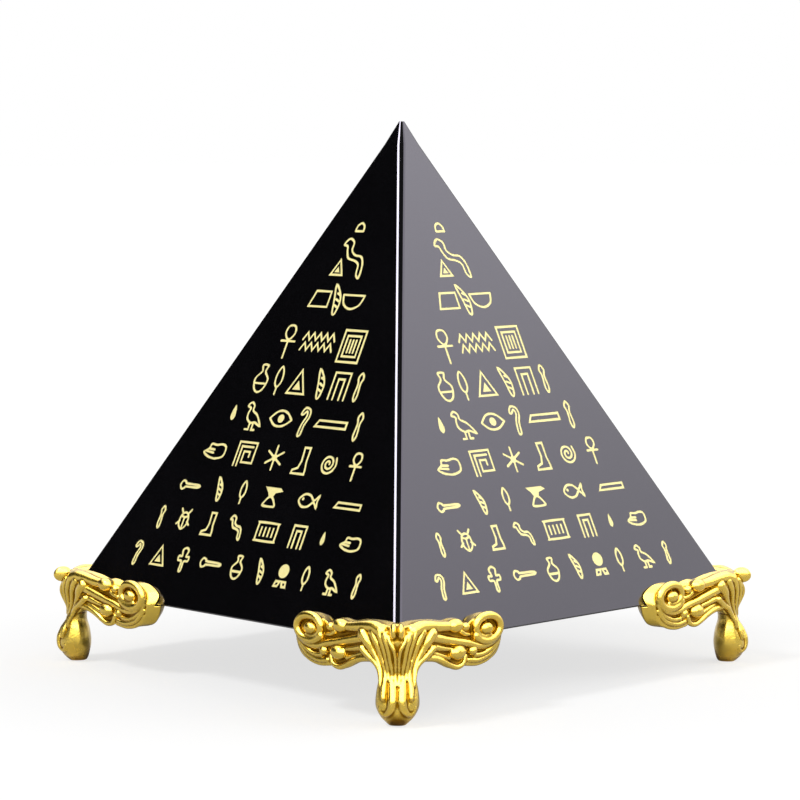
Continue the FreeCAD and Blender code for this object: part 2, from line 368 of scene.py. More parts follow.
def circle(x, y, radius, count=10):
    """Points round a circle."""
    turns = [2 * math.pi * index / count for index in range(count)]
    return [(x + radius * math.cos(turn), y + radius * math.sin(turn)) for turn in turns]


def spiral(x, y, start_radius, end_radius, turns, count):
    """Points of a spiral that winds outwards."""
    points = []
    for index in range(count):
        share = index / (count - 1)
        radius = start_radius + (end_radius - start_radius) * share
        turn = 2 * math.pi * turns * share
        points.append((x + radius * math.cos(turn), y + radius * math.sin(turn)))
    return points


def zigzag(left, right, low, high, teeth):
    """Points of a zigzag line, as of water."""
    step = (right - left) / (2 * teeth)
    return [(left + step * index, high if index % 2 else low) for index in range(2 * teeth + 1)]


# Kinds of stroke: whether they are smooth, closed and filled.
LINE = (False, False, False)
LOOP = (False, True, False)
PATCH = (False, True, True)
CURVE = (True, False, False)
RING = (True, True, False)
BLOB = (True, True, True)

# Signs, each on a grid ten units high from its lower left corner: its width,
# then a kind of stroke and the strokes of that kind, as often as it needs.
SIGNS = {
    "loaf": (9, [(CURVE, [(0.4, 2), (1.2, 6.2), (4.5, 8.4), (7.8, 6.2), (8.6, 2)]), (LINE, [(0.4, 2),
        (8.6, 2)])]),
    "reed": (5, [(RING, [(2.2, 9.8), (0.9, 7.4), (1, 4.2), (2.4, 2.7), (3.8, 4.6), (3.6, 7.8)]),
        (LINE, [(2.4, 2.7), (2.4, 0.2)])]),
    "feather": (6, [(RING, [(1.2, 10), (3.8, 7.6), (5.2, 4.4), (4.6, 0.4), (3.4, 0.6), (2.4, 5)]),
        (LINE, *([(x, y), (x + 1.5, y - 0.7)] for x, y in ((3, 7.2), (3.1, 5.2), (3.2, 3.2))))]),
    "basket": (10, [(LINE, [(0.3, 6.8), (9.7, 6.8)]), (CURVE, [(0.3, 6.8), (1.6, 3.6), (5, 2.2),
        (8.4, 3.6), (9.7, 6.8)])]),
    "basin": (9, [(LOOP, [(0.3, 2.4), (2, 7.6), (8.7, 7.6), (8.7, 2.4)])]),
    "water": (13, [(LINE, zigzag(0.2, 12.8, 6, 8.2, 5), zigzag(0.2, 12.8, 3, 5.2, 5))]),
    "eye": (11, [(CURVE, [(0.2, 5), (2.8, 7.4), (5.5, 8), (8.2, 7.2), (10.8, 5)]), (CURVE, [(0.2, 5),
        (2.8, 2.9), (5.5, 2.4), (8.2, 3.1), (10.8, 5)]), (BLOB, circle(5.5, 5.2, 1.5))]),
    "snake": (9, [(RING, [(0.2, 8.4), (1.5, 9.9), (3.2, 9), (3.4, 7), (5, 5.8), (7.2, 5.4), (8.4, 3.4),
        (8.6, 0.2), (7.4, 1), (7, 3.4), (5.4, 4.4), (3, 5), (1.9, 6.8), (1.4, 8)])]),
    "hand": (11, [(RING, [(0.2, 4.2), (2.2, 5.6), (3, 7.4), (5.6, 7.2), (8.6, 7.6), (10.6, 6.6),
        (10.4, 3.4), (7, 2.2), (4, 2.4), (2, 3)]), (LINE, [(2.2, 5.6), (5.2, 5.4)], [(1.4, 4.6),
        (5, 4.2)])]),
    "leg": (7, [(LOOP, [(3.4, 9.8), (6.2, 9.8), (6.2, 4.6), (6.8, 1.8), (6.8, 0.3), (0.4, 0.3),
        (0.6, 1.5), (3, 2.4), (3.8, 5)])]),
    "bird": (10, [(RING, [(0.8, 8.6), (2.2, 9.9), (3.8, 8.8), (4, 7), (6.8, 5.4), (9.6, 1.8),
        (6.6, 2.9), (4.6, 2.6), (2.4, 4), (2, 6), (2.4, 7.8)]), (LINE, [(4.4, 2.6), (4.4, 0.2),
        (2.8, 0.2)], [(6, 2.8), (6, 0.2), (7.4, 0.2)])]),
    "sun": (7, [(BLOB, circle(3.5, 6.6, 2.9, 12)), (LOOP, [(0.8, 2.2), (3.1, 2.2), (2.3, 0.2),
        (0.2, 0.2)], [(4.2, 2.2), (6.4, 2.2), (6.8, 0.2), (4.9, 0.2)])]),
    "crook": (5, [(RING, [(1.6, 0.2), (2, 4), (3.2, 7), (2.6, 8.6), (1.2, 7.4), (0.3, 7.8), (1.6, 9.8),
        (4, 9.2), (4.5, 6.8), (3.3, 3.8), (2.8, 0.2)])]),
    "coil": (9, [(CURVE, spiral(4.5, 5, 0.5, 3.9, 2.1, 20))]),
    "tablet": (12, [(RING, [(0.3, 2), (0.3, 8), (1, 8.8), (11, 8.8), (11.7, 8), (11.7, 2), (11, 1.2),
        (1, 1.2)]),
        (PATCH, *([(x, 2.9), (x + 1, 2.9), (x + 1, 7.1), (x, 7.1)] for x in (2, 4.3, 6.6, 8.9)))]),
    "panel": (9, [(LOOP, [(0.4, 0.4), (8.6, 0.4), (8.6, 9.6), (0.4, 9.6)], [(1.9, 2), (7.1, 2),
        (7.1, 8), (1.9, 8)]),
        (LINE, *([(x, 3.2), (x, 6.8)] for x in (3.3, 4.5, 5.7)))]),
    "plant": (7, [(RING, [(2.9, 0.2), (2.8, 4), (0.6, 4.4), (0.5, 6.2), (2.3, 6.3), (1.8, 8.8),
        (3.5, 9.9), (5.2, 8.8), (4.7, 6.3), (6.5, 6.2), (6.4, 4.4), (4.2, 4), (4.1, 0.2)])]),
    "mound": (9, [(LOOP, [(0.4, 1), (8.6, 1), (4.5, 9.2)]), (PATCH, [(2.6, 2.3), (6.4, 2.3),
        (4.5, 5.6)])]),
    "vase": (7, [(RING, [(2.2, 9.8), (4.8, 9.8), (4.3, 7.6), (6.5, 5), (5.6, 1.6), (3.5, 0.3),
        (1.4, 1.6), (0.5, 5), (2.7, 7.6)]), (LINE, [(1, 3.4), (6, 3.4)])]),
    "bar": (15, [(LOOP, [(0.2, 3.8), (1.6, 6), (14.8, 6), (14.8, 3.8)])]),
    "spindle": (4, [(RING, [(2, 9.8), (0.9, 8.2), (1.5, 6), (1.2, 2), (2, 0.3), (2.8, 2), (2.5, 6),
        (3.1, 8.2)])]),
    "star": (9, [(LINE, [(4.5, 0.6), (4.5, 9.4)], [(0.7, 2.8), (8.3, 7.2)], [(0.7, 7.2), (8.3, 2.8)]),
        (BLOB, circle(4.5, 5, 1.3))]),
    "beetle": (8, [(RING, [(4, 8.4), (1.9, 7), (1.6, 3.4), (4, 1.2), (6.4, 3.4), (6.1, 7)]),
        (LINE, [(4, 1.2), (4, 6.2), (1.9, 6.9)], [(4, 6.2), (6.1, 6.9)]), (LINE, [(1.8, 4.6),
        (0.2, 3.2)], [(6.2, 4.6), (7.8, 3.2)]), (LINE, [(2.4, 8), (1, 9.8)], [(5.6, 8), (7, 9.8)])]),
    "fish": (12, [(RING, [(0.4, 5), (3, 7.6), (6.5, 7.4), (9.2, 5.4), (11.6, 7.6), (11.2, 5),
        (11.6, 2.4), (9.2, 4.6), (6.5, 2.6), (3, 2.4)]), (BLOB, circle(2.7, 5.6, 0.7))]),
    "gate": (8, [(LINE, [(0.4, 0.2), (0.4, 9.4), (7.6, 9.4), (7.6, 0.2)], [(2.6, 0.2), (2.6, 7.2),
        (5.4, 7.2), (5.4, 0.2)])]),
    "maze": (10, [(LINE, [(0.5, 0.6), (0.5, 9.4), (9.5, 9.4), (9.5, 2), (4, 2), (4, 6), (7, 6),
        (7, 4.2)], [(2.2, 0.6), (2.2, 7.8), (8, 7.8)])]),
    "cross": (6, [(RING, [(3, 5.6), (1.2, 7.4), (1.6, 9.4), (3, 9.9), (4.4, 9.4), (4.8, 7.4)]),
        (LINE, [(0.3, 5.2), (5.7, 5.2)], [(3, 5.2), (3, 0.2)])]),
    "lamp": (12, [(PATCH, [(0.3, 8.8), (9.6, 8.8), (11.6, 7.4), (7.4, 6.4), (6.4, 4.4), (4, 4.4),
        (2.8, 6.4)]), (RING, [(4.2, 4.4), (2.2, 2), (2.2, 0.6), (8.4, 0.6), (8.4, 2), (6.2, 4.4)])]),
    "ladle": (12, [(RING, [(0.3, 5), (1.4, 6.8), (3.2, 6.4), (4, 5.7), (11.6, 5.5), (11.6, 4.5),
        (4, 4.3), (3.2, 3.6), (1.4, 3.2)])]),
    "drop": (4, [(BLOB, [(2, 8.6), (0.8, 4.6), (2, 2.8), (3.2, 4.6)])]),
}

# Rows of signs up a face: the height of the row's foot and the row's height,
# both in millimetres up the slope, then the signs from left to right and how
# far the row lies to the right of the middle.
SIGN_ROWS = [
    (8.0, 5.1, ["crook", "mound", "plant", "ladle", "vase", "feather", "sun", "reed", "bird",
                "spindle"], 0.0),
    (16.3, 5.1, ["spindle", "beetle", "leg", "snake", "tablet", "gate", "drop", "hand"], 0.0),
    (24.0, 5.0, ["ladle", "feather", "reed", "lamp", "fish", "bar"], 0.0),
    (31.7, 6.0, ["hand", "maze", "star", "leg", "coil", "cross"], 0.0),
    (40.0, 6.2, ["drop", "bird", "eye", "crook", "bar", "spindle"], 0.0),
    (48.3, 6.4, ["vase", "reed", "mound", "feather", "gate", "spindle"], 0.0),
    (56.4, 7.6, ["cross", "water", "panel"], 0.0),
    (66.9, 6.7, ["basin", "feather", "basket"], 0.0),
    (75.2, 9.0, ["snake"], 0.4),
    (75.4, 4.2, ["mound"], -2.9),
    (85.3, 2.9, ["loaf"], -0.4),
]
SIGN_GRID = 10
SMOOTH_STEPS = 4
WOBBLE_SEED = 7
SHARPEST_JOIN = 0.55
END_SIDES = 8
LEAST_AREA = 1e-4
LEAST_GAP = 1e-4


def smooth(points, closed, steps):
    """Points on a smooth curve through the given points."""
    count = len(points)
    spans = count if closed else count - 1
    curve = []
    for span in range(spans):
        near = [points[(span + shift) % count] if closed else points[min(max(span + shift, 0), count - 1)]
                for shift in (-1, 0, 1, 2)]
        before, start, end, after = (np.array(point, float) for point in near)
        for step in range(steps):
            share = step / steps
            bend = (2 * start + (end - before) * share
                    + (2 * before - 5 * start + 4 * end - after) * share ** 2
                    + (3 * start - before - 3 * end + after) * share ** 3)
            curve.append(tuple(bend / 2))
    if not closed:
        curve.append(tuple(float(value) for value in points[-1]))
    return curve


class Engraving:
    """Outlines of all strokes on one face, in millimetres."""

    def __init__(self, sizes):
        self.width = sizes.stroke / MM
        self.wobble = sizes.wobble
        self.points = []
        self.pieces = []
        self.chance = random.Random(WOBBLE_SEED)

    def add(self, outline):
        """Adds one filled outline, turned anticlockwise."""
        area = sum(a[0] * b[1] - b[0] * a[1] for a, b in zip(outline, outline[1:] + outline[:1]))
        if abs(area) < LEAST_AREA:
            return
        if area < 0:
            outline = outline[::-1]
        first = len(self.points)
        self.points.extend(Vector(point) for point in outline)
        self.pieces.append(list(range(first, first + len(outline))))

    def ribbon(self, points, closed):
        """Adds a stroke of the pen's width along the points, with round ends."""
        count = len(points)
        places = [Vector(point) for point in points]
        sides = []
        for index, place in enumerate(places):
            before = places[index - 1] if closed or index else place
            after = places[(index + 1) % count] if closed or index < count - 1 else place
            arrive = (place - before).normalized() if place != before else (after - place).normalized()
            leave = (after - place).normalized() if after != place else arrive
            middle = (arrive + leave).normalized()
            widen = 1 / max(SHARPEST_JOIN, middle.dot(leave))
            half = self.width / 2 * (1 + self.chance.uniform(-self.wobble, self.wobble)) * widen
            across = Vector((-middle.y, middle.x)) * half
            sides.append((place + across, place - across))
        for index in range(count if closed else count - 1):
            start, end = sides[index], sides[(index + 1) % count]
            self.add([start[0], start[1], end[1]])
            self.add([start[0], end[1], end[0]])
        if not closed:
            for place in (places[0], places[-1]):
                self.add(circle(*place, self.width / 2, END_SIDES))

    def sign(self, name, left, low, scale):
        """Adds one sign with its lower left corner at the place."""
        for (rounded, closed, filled), *shapes in SIGNS[name][1]:
            for shape in shapes:
                points = [(left + x * scale, low + y * scale) for x, y in shape]
                if rounded:
                    points = smooth(points, closed, SMOOTH_STEPS)
                if filled:
                    self.add(points)
                else:
                    self.ribbon(points, closed)

    def rows(self, half_width_at, margin):
        """Adds all rows, each spread out between the face's margins."""
        for low, height, names, aside in SIGN_ROWS:
            scale = height / SIGN_GRID
            widths = [SIGNS[name][0] * scale for name in names]
            span = 2 * (half_width_at(low + height / 2) - margin)
            gap = (span - sum(widths)) / max(1, len(names) - 1)
            left = (-span / 2 if len(names) > 1 else -widths[0] / 2) + aside
            for name, width in zip(names, widths):
                self.sign(name, left, low, scale)
                left += width + gap


class Pyramid:
    """Where the stone's faces and facets lie, in millimetres about its base centre."""

    def __init__(self, sizes):
        self.half = sizes.base_side / MM / 2
        self.height = sizes.height / MM
        self.slope = math.hypot(self.half, self.height)
        self.easing = sizes.base_easing / MM
        self.tip = (STONE_HIGH.z - STONE_LOW.z) / MM

        # Offsets of the facet's edges from the sharp corner of a level section.
        glint = sizes.glint_width / MM
        self.sink = glint * math.sin(math.pi / 8)
        self.inner = self.sink + sizes.arris_width / MM / math.sqrt(2)
        self.outer = self.inner + glint * math.cos(math.pi / 8)
        self.blend_half = sizes.tip_blend / MM

        # The bottom edge is eased at 45 degrees, as far as the sloping faces.
        self.widest = self.easing / (1 + self.half / self.height)
        self.blend_level = self.height * (1 - self.blend_half / self.half)

    def half_at(self, level):
        """Half width of the sharp section at a height."""
        return self.half * (1 - level / self.height)

    def half_on_slope(self, rise):
        """Half width of a face at a distance up its slope."""
        return self.half * (1 - rise / self.slope)

    def ring(self, half, level, share):
        """One level section: four corners of four points each, with that share of their facets."""
        outer, inner, sink = self.outer * share, self.inner * share, self.sink * share
        corner = [Vector((half - outer, -half, level)), Vector((half - inner, -half + sink, level)),
                  Vector((half - sink, -half + inner, level)), Vector((half, -half + outer, level))]
        return [quarter(turn) @ point for turn in range(4) for point in corner]


def quarter(turn):
    """Rotation by that many quarter turns."""
    return Matrix.Rotation(math.pi / 2 * turn, 3, "Z")


def face_place(pyramid, turn):
    """Function from a place on a face and a depth below it to a point in the frame."""
    spin = quarter(turn)
    rise = Vector((0, pyramid.half, pyramid.height)) / pyramid.slope
    normal = Vector((0, -pyramid.height, pyramid.half)) / pyramid.slope
    foot = Vector((0, -pyramid.half, 0))
    lift = Vector((0, 0, STONE_LOW.z))

    def place(across, up_slope, depth=0.0):
        local = foot + Vector((across, 0, 0)) + rise * up_slope - normal * depth
        return spin @ local * MM + lift
    return place


def engraved_plan(pyramid, signs):
    """One face's triangles: points, triangles of bare stone and triangles inside strokes."""
    engraving = Engraving(signs)
    engraving.rows(pyramid.half_on_slope, signs.margin / MM)
    tilt = pyramid.slope / pyramid.height
    corners = []
    for level, side in ((pyramid.widest, -1), (pyramid.widest, 1), (pyramid.blend_level, 1),
                        (pyramid.blend_level, -1)):
        corners.append(Vector((side * (pyramid.half_at(level) - pyramid.outer), level * tilt)))
    count = len(engraving.points)
    outline = list(range(count, count + len(corners)))
    found = delaunay_2d_cdt(engraving.points + corners, [], engraving.pieces + [outline], 1, LEAST_GAP)
    points, triangles, inside = found[0], found[2], found[5]
    border = len(engraving.pieces)
    bare = [face for face, pieces in zip(triangles, inside) if pieces == [border]]
    cut = [face for face, pieces in zip(triangles, inside) if pieces != [border]]
    return points, bare, cut


def rim_edges(triangles):
    """Edges that only one of the triangles has, in that triangle's direction."""
    edges = {(face[index - 1], face[index]) for face in triangles for index in range(len(face))}
    return [edge for edge in edges if (edge[1], edge[0]) not in edges]


# Width that is left of each arris facet at the tip, as a share of all that fits,
# and how near two points are before they are one.
TIP_SHARE = 0.92
WELD = 0.000001


def stone_mesh(pyramid, plan, depth):
    """The whole stone: engraved faces, arris facets, eased base and tip."""
    made = bmesh.new()
    points, bare, cut = plan
    rims = rim_edges(cut)
    for turn in range(4):
        place = face_place(pyramid, turn)
        surface = [made.verts.new(place(*point)) for point in points]
        floor = {}
        for face in cut:
            for index in face:
                if index not in floor:
                    floor[index] = made.verts.new(place(*points[index], depth))
        for face in bare:
            made.faces.new([surface[index] for index in face])
        for face in cut:
            made.faces.new([floor[index] for index in face])
        for start, end in rims:
            made.faces.new([surface[end], surface[start], floor[start], floor[end]])
    lift = Vector((0, 0, STONE_LOW.z))
    tip_half = pyramid.half_at(pyramid.tip)
    sections = [
        (pyramid.half - pyramid.easing, 0.0, 1.0), (pyramid.half_at(pyramid.widest), pyramid.widest, 1.0),
        (pyramid.blend_half, pyramid.blend_level, 1.0),
        (tip_half, pyramid.tip, tip_half / pyramid.outer * TIP_SHARE),
    ]
    rings = [[made.verts.new(point * MM + lift) for point in pyramid.ring(*section)] for section in sections]
    for index, (low, high) in enumerate(zip(rings, rings[1:])):
        count = len(low)
        for spot in range(count):
            after = (spot + 1) % count
            engraved = index == 1 and spot % 4 == 3
            if not engraved:
                side = made.faces.new([low[spot], low[after], high[after], high[spot]])
                side.material_index = int(spot % 4 == 1)
    made.faces.new(rings[0][::-1])
    made.faces.new(rings[-1])
    bmesh.ops.remove_doubles(made, verts=made.verts, dist=WELD)
    loose = [vert for vert in made.verts if not vert.link_faces]
    bmesh.ops.delete(made, geom=loose, context="VERTS")
    bmesh.ops.recalc_face_normals(made, faces=made.faces)
    return mesh_of(made, "stone")


def fill_mesh(pyramid, plan, turn, top, floor):
    """Gold that lies in the engraving of one face, from just below the face to the floor."""
    made = bmesh.new()
    points, _, cut = plan
    place = face_place(pyramid, turn)
    used = sorted({index for face in cut for index in face})
    upper = {index: made.verts.new(place(*points[index], top)) for index in used}
    lower = {index: made.verts.new(place(*points[index], floor)) for index in used}
    for face in cut:
        made.faces.new([upper[index] for index in face])
        made.faces.new([lower[index] for index in face[::-1]])
    for start, end in rim_edges(cut):
        made.faces.new([upper[start], upper[end], lower[end], lower[start]])
    bmesh.ops.recalc_face_normals(made, faces=made.faces)
    return mesh_of(made, "sign_fill")


# Foot. Its places are in millimetres: on an arm they run along it from the
# stone's corner, up from the stone's underside, and out from the stone's edge.
ARM_OUTLINE = [
    (0, 4.6), (4, 4.8), (8, 4.5), (11, 3.9), (13, 4.1), (15, 3.7), (16.2, 2.9), (17, 2.8), (18.3, 3.7),
    (20.3, 4.2), (23.2, 4), (25.4, 3), (26.6, 1.8), (27.1, 0.4), (26.9, -1.5), (26.2, -3.3), (25, -4.6),
    (23, -5.3), (20.3, -5.6), (18.3, -5.4), (17, -5), (16, -5.5), (14.3, -5.8), (12, -5.4), (10, -4.5),
    (8, -3.6), (5.6, -3.3), (4, -4.6), (0, -5.2),
]

# An arm leans: how far out each of its outlines lies (a share of the wall),
# how far its far end is pushed along, and how much its top and bottom shrink.
ARM_LEAN = [(-2.2, 0.6, 1.0, 1.6), (-0.5, 2.0, 0.0, 0.5), (1.0, 0.0, 0.5, 0.2)]
LEAN_START = 16.0

# Strands of an arm: places along and up it, how far out, then the radius at
# each end.
ARM_STRANDS = [
    ([(12.6, 2.9), (10, 3.1), (7, 3.5), (4.6, 3.6), (2.8, 3.1)], 0.0, 0.95, 1.5),
    ([(5.4, 1.6), (8, 1.2), (11, 0.5), (14.3, -0.3), (17.2, -0.9), (20.3, -1.8), (23, -1.7), (25.3, -0.7),
      (26.5, 1)], 0.3, 1.05, 0.55),
    ([(5.6, -0.2), (8.5, -0.7), (10.6, -1.2), (12.8, -1.6)], 0.15, 0.85, 0.45),
    ([(6, -1.4), (8.2, -1.9), (10.4, -2.6), (12.4, -3.3)], 0.0, 0.5, 0.4),
    ([(5, -2.4), (8, -2.8), (10.4, -3.6), (12.6, -4.7), (14.5, -5.3), (16.2, -4.8), (16.8, -3.4)],
     0.1, 0.75, 0.5),
    ([(19.4, -3.5), (21.5, -3.5), (23.8, -2.7), (25.6, -1.3), (26.4, 0.1)], 0.2, 0.5, 0.45),
    ([(17.8, -4.3), (20.3, -4.6), (23.3, -3.9), (25.2, -2.5), (26.2, -1.2)], 0.1, 0.52, 0.45),
    ([(17.2, -5), (20.3, -5.35), (23.2, -4.8), (25.1, -3.6), (26.1, -2.4)], -0.2, 0.5, 0.4),
    ([(15.6, 1.5), (16.6, 0.9), (17.8, 0.7)], 0.1, 0.5, 0.4),
]
STRAND_STEPS = 6
STRAND_SIDES = 12
DOME = (0.35, 0.8, 1.2)

# The scroll's own strand comes in below, winds round the oval from one turn to
# another, and from a turn between them curls in and grows thinner by these shares.
SCROLL_CENTRE = (22.5, 1.5)
SCROLL_HALF = (3.6, 2.45)
SCROLL_PROUD = 0.45
SCROLL_RADIUS = 0.85
SCROLL_STEPS = 26
SCROLL_START, SCROLL_CURL, SCROLL_END = (math.radians(turn) for turn in (-150, 120, 290))
CURL_IN = 0.42
CURL_THIN = 0.35

# Beads of an arm: along, up, out, and half sizes along, up and out.
ARM_BEADS = [
    (13.8, 2.9, 1.7, 2.0, 1.4, 1.45),
    (16.9, 2.3, 1.5, 0.95, 0.85, 0.9),
    (14.4, -2.4, 1.8, 2.1, 1.45, 1.4),
    (18.5, -2.5, 1.7, 1.1, 1.0, 1.1),
    (22.3, 1.5, 1.7, 1.75, 1.3, 1.4),
]

# Flutes of the leg: places to the side of the diagonal and up, the radius along
# them, and how far out. Two of them end in fingers on the bulb, one of them hooked.
FLUTES = [
    ([(6.8, -0.7), (5.5, -2), (4.2, -3.1), (3.5, -4.4), (3.3, -5.9), (3.3, -7.2)],
     [0.75, 0.7, 0.62, 0.5, 0.4, 0.3], 0.3),
    ([(6.4, 2.1), (5.6, 0.8), (4.8, -0.7), (3.9, -2.4), (3.15, -4.4), (3, -6), (3.1, -7.2)],
     [1.3, 1.05, 0.72, 0.54, 0.43, 0.38, 0.3], 0.1),
    ([(4.6, 2.7), (4.2, 1.6), (3.7, 0.2), (3, -2), (2.35, -4.4), (2.4, -6.2), (2.65, -8), (2.7, -9.4)],
     [1.0, 0.8, 0.56, 0.44, 0.4, 0.46, 0.6, 0.54], 0.2),
    ([(3.25, 2.8), (3, 1.7), (2.65, 0.2), (2.15, -2), (1.75, -4.5), (1.7, -6)],
     [0.9, 0.68, 0.48, 0.4, 0.34, 0.3], 0.3),
    ([(2.3, 2.6), (2.1, 1.4), (1.8, 0.1), (1.4, -2.2), (1.05, -4.5), (1, -6)],
     [0.75, 0.6, 0.44, 0.37, 0.34, 0.3], 0.3),
    ([(1.1, -4.9), (1.1, -6.4), (0.9, -8.2), (0.9, -10), (1.35, -11.6), (2.2, -12.5), (3.05, -12.2),
      (3.4, -11.3)], [0.45, 0.72, 0.98, 0.95, 0.7, 0.5, 0.42, 0.3], -0.2),
    ([(1.75, 2.3), (1.2, 1), (0.62, -0.2), (0.42, -1.4), (0.36, -3), (0.33, -4.6), (0.36, -5.8), (0.2, -7)],
     [0.42, 0.42, 0.36, 0.3, 0.26, 0.24, 0.28, 0.22], 0.3),
]

# One half of the knob on the corner: its place across, out and up, and its half axes.
KNOB_PLACE = (0.7, 1.8, 3.5)
KNOB_AXES = (Vector((1.35, 1.35, -0.2)), Vector((0.54, -0.54, 0.0)), Vector((0.15, 0.15, 1.55)))

# Level sections of the leg: height, half width, reach in front and behind.
LEG_SECTIONS = [
    (3.4, 4.4, 1.9, 2.4), (1.5, 5.0, 2.4, 3.4), (0.0, 5.0, 2.3, 3.6), (-1.5, 4.5, 1.8, 3.5),
    (-3.2, 3.7, 1.0, 3.5), (-4.8, 3.5, 0.4, 3.3), (-6.2, 3.6, 0.7, 3.3), (-8.0, 3.95, 1.6, 3.8),
    (-10.0, 4.2, 2.5, 4.1), (-11.6, 4.1, 2.7, 4.1), (-13.2, 3.3, 2.1, 3.8), (-14.3, 2.3, 1.2, 3.5),
    (-15.0, 1.5, 0.3, 3.1),
]
LEG_PROFILE = np.array(smooth(LEG_SECTIONS, False, SMOOTH_STEPS)[::-1])
LEG_SIDES = 40
BACK_FULLNESS = 0.75

# The leg's front is round about an axis that lies this share of the reach behind.
FRONT_AXIS = 0.2

# Between two heights the round leg turns into the blunt corner of the arms. The
# slit down its middle starts below a height, and fades out between two others.
CORNER_RISE = (-5.5, -1.5)
CORNER_ROUND = 0.6
SLIT_DEPTH = 0.6
SLIT_HALF = 0.9
SLIT_TOP = 2.6
SLIT_FADE = (-6.0, -4.0)

# The flutes sink in beside the slit, less with each millimetre to the side.
SINK = 0.35
SINK_HALF = 1.6
SINK_FADE = (-6.5, -3.5)

# The stone's place, and how far the tools that cut the foot reach.
SEAT_HEIGHT = 20.0
TOOL_REACH = 60.0

# Painted shade on the gilding: how often the places are averaged with their neighbours to find
# the hollows, what their depth and the toe add to the painted shade, and where the toe starts.
HOLLOW_PASSES = 14
HOLLOW_GAIN = 7.5
HOLLOW_BASE = 0.28
TOE_GAIN = 0.8
TOE_TOP = -11.6
TOE_SPAN = 2.4
TOE_EASE = 1.3


def fade(value, low, high):
    """0 below the low value, 1 above the high one, with a straight slope between."""
    return min(1.0, max(0.0, (value - low) / (high - low)))


def arm_point(along, rise, out):
    """Point of an arm in the foot's frame; the arm runs along -X and faces +Y."""
    return Vector((-along, out, rise))


def leg_point(across, out, rise):
    """Point of the leg in the foot's frame, out along the diagonal."""
    diagonal = math.sqrt(0.5)
    return Vector(((out - across) * diagonal, (out + across) * diagonal, rise))


def leg_section(rise):
    """Half width and reach in front and behind of the leg at a height."""
    return [float(np.interp(rise, LEG_PROFILE[:, 0], LEG_PROFILE[:, index])) for index in (1, 2, 3)]


def leg_surface(across, rise):
    """How far out the front lies: a round leg that turns into the blunt corner of the arms above."""
    half, front, back = leg_section(rise)
    middle = -FRONT_AXIS * back
    share = min(1.0, abs(across) / half)
    oval = middle + (front - middle) * math.sqrt(1 - share ** 2)
    corner = front + CORNER_ROUND - math.hypot(across, CORNER_ROUND)
    return oval + (corner - oval) * fade(rise, *CORNER_RISE)


def flute_line(places, proud):
    """Places on the front of the leg, sunk in beside the slit between the flutes."""
    line = []
    for across, rise in places:
        sunk = SINK * max(0.0, 1 - across / SINK_HALF) * fade(rise, *SINK_FADE)
        line.append(leg_point(across, leg_surface(across, rise) + proud - sunk, rise))
    return line


def dome(end, inner, size):
    """Places and radii of a strand's domed end, from its tip inwards."""
    way = (end - inner).normalized()
    return [(end + way * size * math.cos(turn), size * math.sin(turn)) for turn in DOME]


class Cast:
    """Collects the closed shapes that are melted into one casting."""

    def __init__(self):
        self.made = bmesh.new()

    def skin(self, rings):
        """Closed skin through rings of as many points each."""
        verts = [[self.made.verts.new(point) for point in ring] for ring in rings]
        count = len(verts[0])
        for low, high in zip(verts, verts[1:]):
            for spot in range(count):
                after = (spot + 1) % count
                self.made.faces.new([low[spot], low[after], high[after], high[spot]])
        self.made.faces.new(verts[0][::-1])
        self.made.faces.new(verts[-1])

    def strand(self, places, radii):
        """Round tapered strand through the places, with domed ends."""
        points = [Vector(point) for point in smooth([tuple(place) for place in places], False, STRAND_STEPS)]
        count = len(points)
        spots = [index * (len(radii) - 1) / (count - 1) for index in range(count)]
        sizes = [float(np.interp(spot, range(len(radii)), radii)) for spot in spots]
        path = (dome(points[0], points[1], sizes[0]) + list(zip(points, sizes))
                + dome(points[-1], points[-2], sizes[-1])[::-1])
        turns = [2 * math.pi * spot / STRAND_SIDES for spot in range(STRAND_SIDES)]
        rings = []
        normal = None
        for index, (point, radius) in enumerate(path):
            ahead = path[min(index + 1, len(path) - 1)][0] - path[max(index - 1, 0)][0]
            ahead.normalize()
            if normal is None:
                normal = ahead.orthogonal()
            normal = (normal - ahead * normal.dot(ahead)).normalized()
            side = ahead.cross(normal)
            rings.append([point + (normal * math.cos(turn) + side * math.sin(turn)) * radius
                          for turn in turns])
        self.skin(rings)

    def bead(self, centre, along, up, out):
        """Round bead: its centre and its three half axes as vectors."""
        shape = Matrix((along, up, out)).transposed().to_4x4()
        bmesh.ops.create_uvsphere(self.made, u_segments=20, v_segments=12, radius=1,
                                  matrix=Matrix.Translation(centre) @ shape)

    def face_out(self):
        """Turns all faces outwards."""
        bmesh.ops.recalc_face_normals(self.made, faces=self.made.faces)

    def twin(self):
        """Adds the mirror image in the foot's diagonal of all that is there."""
        self.face_out()
        everything = self.made.faces[:] + self.made.edges[:] + self.made.verts[:]
        for item in bmesh.ops.duplicate(self.made, geom=everything)["geom"]:
            if isinstance(item, bmesh.types.BMVert):
                item.co = Vector((item.co.y, item.co.x, item.co.z))
        self.face_out()

    def mesh(self, name):
        """The collected shapes as one mesh."""
        self.face_out()
        return mesh_of(self.made, name)


